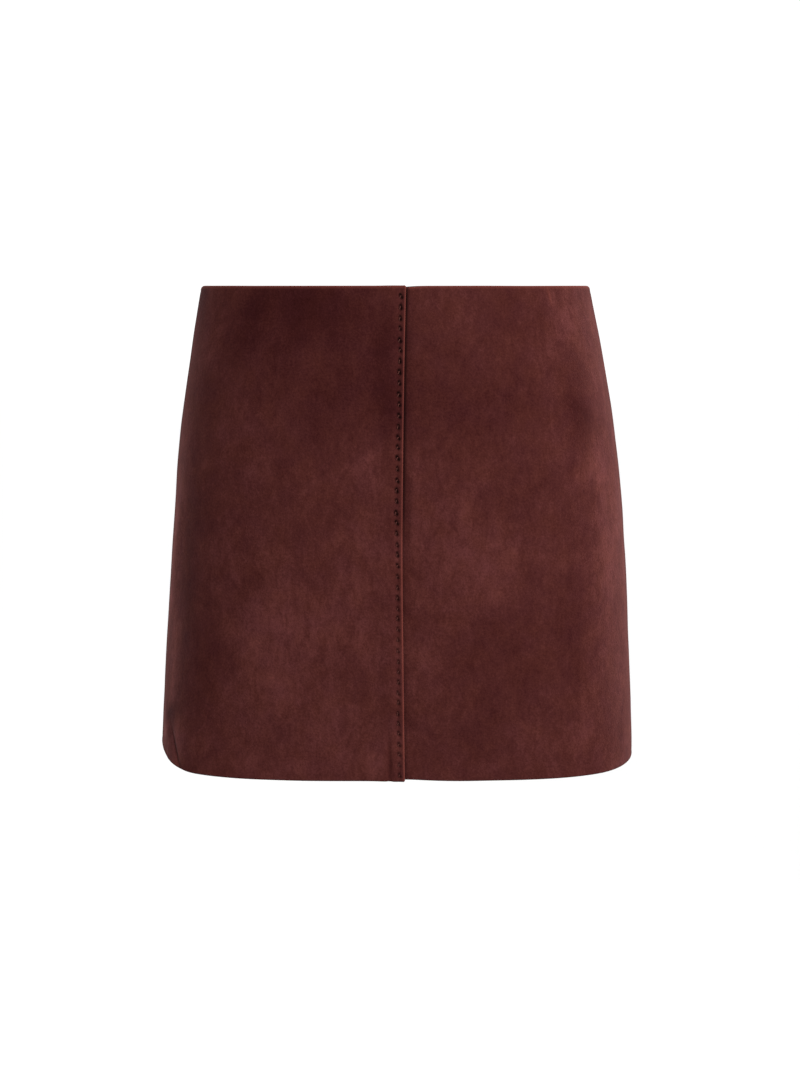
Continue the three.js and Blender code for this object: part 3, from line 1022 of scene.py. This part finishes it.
# Die-cast zinc lacquered to match the suede: glossy film, with bright metal where it is rubbed.
def makeLacqueredZinc():
    look = zincLook
    material, tree, shader = newMaterial("zincLacqueredCast", {"Metallic": 0.35})
    where = addNode(tree, "ShaderNodeTexCoord").outputs["Object"]
    values = {"Scale": 1 / (look["speckleSize"] * mm), "Detail": 5, "Roughness": 0.65}
    speckle = addNode(tree, "ShaderNodeTexNoise", {}, values, {"Vector": where}).outputs["Fac"]
    rubbed = addNode(tree, "ShaderNodeValToRGB", {}, {}, {"Fac": speckle})
    setStops(rubbed, [(0.62, look["lacquer"]), (0.72, look["metal"])])
    shine = addNode(tree, "ShaderNodeMath", timesPlus, {1: 0.25, 2: 0.22}, {0: speckle})
    setLinks(tree, shader, {"Base Color": rubbed, "Roughness": shine})
    return material


# One saddle stitch of thread, arched along Y: it comes out of one hole and dives into the next.
def addStitch(bm, length, radius):
    steps, arch, dive = threadLook["steps"], threadLook["arch"], threadLook["dive"]
    ring = bmesh.ops.create_circle(bm, segments=8, radius=radius, cap_ends=True)["verts"]
    edges = list({edge for vert in ring for edge in vert.link_edges})
    made = list(ring)
    centre = Vector((0, -length / 2, -arch))
    rising = Matrix.Rotation(math.radians(-90 + dive), 3, "X")
    bmesh.ops.translate(bm, verts=ring, vec=centre)
    bmesh.ops.rotate(bm, verts=ring, cent=centre, matrix=rising)
    bending = Matrix.Rotation(math.radians(-2 * dive / steps), 3, "X")
    for k in range(1, steps + 1):
        along = -1 + 2 * k / steps
        target = Vector((0, along * length / 2, -arch * along * along))
        extruded = bmesh.ops.extrude_edge_only(bm, edges=edges)["geom"]
        ring = [item for item in extruded if isinstance(item, bmesh.types.BMVert)]
        edges = [item for item in extruded if isinstance(item, bmesh.types.BMEdge)]
        bmesh.ops.translate(bm, verts=ring, vec=target - centre)
        bmesh.ops.rotate(bm, verts=ring, cent=target, matrix=bending)
        centre = target
        made += ring
    bmesh.ops.contextual_create(bm, geom=edges)
    return made


def makeStitches(material):
    bm = bmesh.new()
    for row in stitchRows:
        drop = np.array([row["drop"]])
        turn = frontTurn(measure("lapEdge", drop) - row["in"], drop)
        point, across, down, outward = (Vector(v[0]) for v in clothFrame(turn, drop))
        middle = point + outward * (lap["raise"] - lap["laneDepth"] - lap["threadSink"])
        lean = math.atan2(row["lean"], lap["holeApart"])
        axes = Matrix((across.normalized(), -down, outward)).transposed().to_4x4()
        thickness = 0.7 + 0.2 * row["depth"]
        made = addStitch(bm, lap["holeApart"] * lap["threadOver"], threadLook["radius"] * thickness)
        matrix = Matrix.Translation(middle) @ axes @ Matrix.Rotation(-lean, 4, "Z")
        bmesh.ops.transform(bm, verts=made, matrix=matrix)
    bmesh.ops.scale(bm, verts=bm.verts, vec=(mm, mm, mm))
    bmesh.ops.recalc_face_normals(bm, faces=bm.faces)
    piece = newPiece("front_stitches", bm, material)
    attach(piece, "skirt")
    print("stitches:", len(stitchRows))
    return piece


# One tape of the zip, a narrow strip along the inside of the back seam.
def makeTapePiece(name, node, side, material):
    near = side * zipper["tapeFrom"]
    far = side * (zipper["tapeFrom"] + zipper["tapeWidth"])
    acrossCount, downCount = 9, 90
    past, drop = np.meshgrid(
        np.linspace(min(near, far), max(near, far), acrossCount),
        np.linspace(zipper["tapeTop"], zipper["end"], downCount),
        indexing="ij",
    )
    placed = clothFrame(backTurn(past, drop), drop)
    point, outward = placed[0], placed[3]
    wave = zipper["ripple"] * np.sin(drop / zipper["rippleLong"])
    ripple = wave * np.abs(past) / zipper["tapeWidth"]
    point = (point - outward * (zipper["tapeIn"] + ripple)[..., None]) * mm
    bm = bmesh.new()
    bmesh.ops.create_grid(bm, x_segments=acrossCount - 1, y_segments=downCount - 1, size=1)
    uvLayer = bm.loops.layers.uv.new("cut")
    place = {}
    for vert in bm.verts:
        i = round((vert.co.x + 1) / 2 * (acrossCount - 1))
        j = downCount - 1 - round((vert.co.y + 1) / 2 * (downCount - 1))
        place[vert] = (past[i, j] * mm, -drop[i, j] * mm)
        vert.co = Vector(point[i, j])
    for face in bm.faces:
        for loop in face.loops:
            loop[uvLayer].uv = place[loop.vert]
    piece = newPiece(name, bm, material)
    wall = piece.modifiers.new("wall", "SOLIDIFY")
    wall.thickness = zipper["tapeThickness"] * mm
    wall.offset = 0
    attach(piece, "skirt")
    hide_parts(node)
    return piece


# The closed teeth: short round loops from either side, one between the next two.
def makeTeeth(material):
    bm = bmesh.new()
    count = int((zipper["end"] - zipper["coilTop"]) / (zipper["toothPitch"] / 2))
    for k in range(count):
        side = 1 if k % 2 else -1
        drop = np.array([zipper["coilTop"] + (k + 0.5) * zipper["toothPitch"] / 2])
        point, across, down, outward = (Vector(v[0]) for v in clothFrame(backTurn(0.0, drop), drop))
        made = bmesh.ops.create_uvsphere(bm, u_segments=8, v_segments=4, radius=0.5)["verts"]
        size = (zipper["toothLong"], zipper["toothWide"], zipper["toothDeep"])
        bmesh.ops.scale(bm, verts=made, vec=size)
        axes = Matrix((across.normalized(), -down, outward)).transposed().to_4x4()
        middle = point - outward * zipper["teethIn"] + across * (zipper["toothOut"] * side)
        bmesh.ops.transform(bm, verts=made, matrix=Matrix.Translation(middle) @ axes)
    bmesh.ops.scale(bm, verts=bm.verts, vec=(mm, mm, mm))
    piece = newPiece("zip_teeth", bm, material)
    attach(piece, "skirt")
    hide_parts("zip_coil")
    print("teeth:", count)
    return piece


# A cast part from its solid: merged, its flat faces made whole, and its edges rounded.
def makeCasting(name, node, body, material):
    bm = bmesh.new()
    bm.from_mesh(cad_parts[node].data)
    bmesh.ops.remove_doubles(bm, verts=bm.verts, dist=0.01 * mm)
    bmesh.ops.dissolve_limit(bm, angle_limit=math.radians(1), verts=bm.verts, edges=bm.edges)
    piece = newPiece(name, bm, material)
    rounding = piece.modifiers.new("rounding", "BEVEL")
    rounding.width = zipper["castEdge"] * mm
    rounding.segments = 3
    rounding.limit_method = "ANGLE"
    rounding.angle_limit = math.radians(zipper["castCorner"])
    rounding.harden_normals = True
    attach(piece, body)
    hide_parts(node)
    return piece


def makeCamera():
    data = bpy.data.cameras.new("camera")
    data.lens = cameraSettings["lens"]
    data.sensor_width = cameraSettings["sensor"]
    camera = bpy.data.objects.new("camera", data)
    camera.location = (cameraSettings["sideways"] * mm, -cameraSettings["distance"] * mm, 0)
    camera.rotation_euler = (math.radians(90 - cameraSettings["pitch"]), 0, 0)
    bpy.context.scene.collection.objects.link(camera)
    bpy.context.scene.camera = camera


studio = {
    "floorDrop": 950,
    "floorSize": 30000,
    "world": 1.08,
    "paper": (0.93, 0.93, 0.93, 1),
    "aim": (0, 0, -190),
    "lampSize": 900,
    "lampSpread": 50,
    "lamps": [
        {"name": "side", "place": (1160, -1160, 700), "power": 5, "colour": "#fffaf5"},
        {"name": "rightRim", "place": (1730, 1000, -250), "power": 9, "colour": "#ffffff"},
        {"name": "leftRim", "place": (-1620, 1180, -850), "power": 6.5, "colour": "#ffffff"},
    ],
}


def makeStudio():
    bm = bmesh.new()
    bmesh.ops.create_grid(bm, x_segments=1, y_segments=1, size=studio["floorSize"] / 2 * mm)
    bmesh.ops.translate(bm, verts=bm.verts, vec=(0, 0, -studio["floorDrop"] * mm))
    paper = newMaterial("floorWhitePaper", {"Base Color": studio["paper"], "Roughness": 0.9})[0]
    newPiece("floor", bm, paper)
    world = bpy.data.worlds.new("studio")
    world.use_nodes = True
    light = {"Color": (1, 1, 1, 1), "Strength": studio["world"]}
    setValues(world.node_tree.nodes["Background"], light)
    bpy.context.scene.world = world
    for each in studio["lamps"]:
        data = bpy.data.lights.new(each["name"], "AREA")
        data.size = studio["lampSize"] * mm
        data.energy = each["power"]
        data.spread = math.radians(studio["lampSpread"])
        data.color = linear(each["colour"])[:3]
        lamp = bpy.data.objects.new(each["name"], data)
        lamp.location = Vector(each["place"]) * mm
        aim = (Vector(studio["aim"]) - Vector(each["place"])) * mm
        lamp.rotation_euler = aim.to_track_quat("-Z", "Y").to_euler()
        bpy.context.scene.collection.objects.link(lamp)
    bpy.context.scene.view_settings.view_transform = "Standard"


makeCamera()
suede = makeSuede()
for panel in panels:
    makePanel(panel, suede)
makeStitches(makeThread())
tape = makeTape()
makeTapePiece("zip_tape_left_woven", "zip_tape_left", 1, tape)
makeTapePiece("zip_tape_right_woven", "zip_tape_right", -1, tape)
makeTeeth(makeNylon())
zinc = makeLacqueredZinc()
makeCasting("zip_slider_cast", "zip_slider", "skirt", zinc)
makeCasting("zip_pull_cast", "zip_pull", "pull_tab", zinc)
makeStudio()
